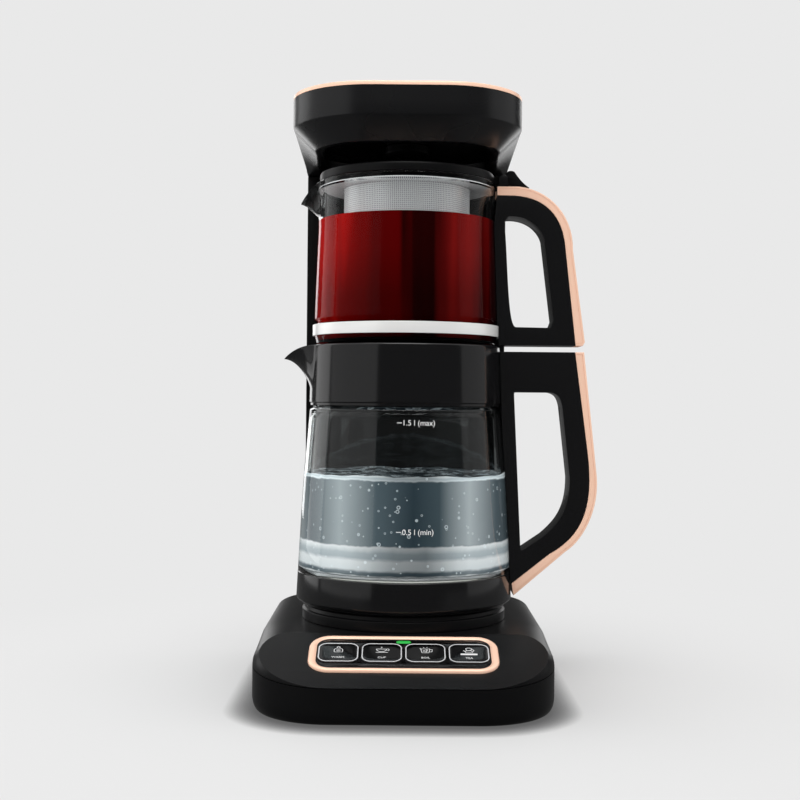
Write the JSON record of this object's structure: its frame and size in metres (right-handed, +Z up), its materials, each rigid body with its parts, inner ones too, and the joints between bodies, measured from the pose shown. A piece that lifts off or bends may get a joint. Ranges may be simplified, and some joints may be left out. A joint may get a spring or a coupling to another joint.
{
  "type": "automatic tea maker",
  "caption": "Upright tea maker: glass kettle on a base, glass teapot stacked on it, both under a fixed head on a rear tower, with a sloped button panel.",
  "frame": {"origin": "centre of the bounding box on the ground plane", "axes": "+Z up, -Y to the front where the buttons are, +X to the side of the jug handles; the upright axis of the jugs is at x = -0.0185, y = 0.0047"},
  "size_m": [0.2265, 0.2506, 0.398],
  "materials": {
    "satin_black": "satin",
    "gloss_black": "gloss",
    "rose_gold": "satin",
    "steel": "satin",
    "clear_glass": "gloss",
    "foot_rubber": "matte",
    "silicone": "matte",
    "board_green": "satin",
    "pump_white": "satin",
    "lamp_green": "gloss",
    "print_white": "gloss",
    "water": "gloss",
    "tea": "gloss"
  },
  "bodies": {
    "machine": {"base_tray": "satin_black", "base_cover": "satin_black", "foot_front_left": "foot_rubber", "foot_front_right": "foot_rubber", "foot_rear_left": "foot_rubber", "foot_rear_right": "foot_rubber", "base_screw_1": "steel", "base_screw_2": "steel", "base_screw_3": "steel", "base_screw_4": "steel", "cord_gland": "foot_rubber", "panel_frame": "rose_gold", "panel_plate": "gloss_black", "status_lamp": "lamp_green", "control_board": "board_green", "tact_switch_1": "satin_black", "tact_switch_2": "satin_black", "tact_switch_3": "satin_black", "tact_switch_4": "satin_black", "power_board": "board_green", "water_pump": "pump_white", "pump_hose": "silicone", "kettle_rest": "gloss_black", "power_connector": "satin_black", "tower_front_shell": "satin_black", "tower_rear_cover": "satin_black", "riser_tube": "steel", "head_shell": "satin_black", "head_trim_ring": "rose_gold", "head_cover": "satin_black", "head_hose": "silicone", "shower_nozzle": "satin_black"},
    "bottle_button": {"button_bottle": "gloss_black"},
    "cup_button": {"button_cup": "gloss_black"},
    "jug_button": {"button_jug": "gloss_black"},
    "teapot_button": {"button_teapot": "gloss_black"},
    "kettle": {"kettle_glass": "clear_glass", "kettle_collar": "satin_black", "kettle_shell": "satin_black", "kettle_socket": "satin_black", "kettle_seal": "silicone", "heater_plate": "steel", "heating_element": "steel", "kettle_thermostat": "satin_black", "kettle_handle": "satin_black", "kettle_handle_trim": "rose_gold"},
    "teapot": {"teapot_glass": "clear_glass", "teapot_band": "steel", "teapot_handle": "satin_black", "teapot_handle_trim": "rose_gold", "hinge_pin": "steel", "infuser_basket": "steel"},
    "lid": {"teapot_lid": "satin_black", "lid_inlet": "steel"}
  },
  "joints": [
    {"name": "press_bottle", "type": "slide", "parent": "machine", "child": "bottle_button", "axis": [0, 0.3456, -0.9384], "range_m": [0, 0.0008], "stiffness_N_per_m": 800},
    {"name": "press_cup", "type": "slide", "parent": "machine", "child": "cup_button", "axis": [0, 0.3456, -0.9384], "range_m": [0, 0.0008], "stiffness_N_per_m": 800},
    {"name": "press_jug", "type": "slide", "parent": "machine", "child": "jug_button", "axis": [0, 0.3456, -0.9384], "range_m": [0, 0.0008], "stiffness_N_per_m": 800},
    {"name": "press_teapot", "type": "slide", "parent": "machine", "child": "teapot_button", "axis": [0, 0.3456, -0.9384], "range_m": [0, 0.0008], "stiffness_N_per_m": 800},
    {"name": "kettle_pull", "type": "slide", "parent": "machine", "child": "kettle", "axis": [0, -1, 0], "range_m": [0, 0.25]},
    {"name": "teapot_pull", "type": "slide", "parent": "kettle", "child": "teapot", "axis": [0, -1, 0], "range_m": [0, 0.26]},
    {"name": "lid_hinge", "type": "hinge", "parent": "teapot", "child": "lid", "pos_m": [0.0475, 0.0047, 0.3468], "axis": [0, 1, 0], "range_deg": [0, 4]}
  ]
}
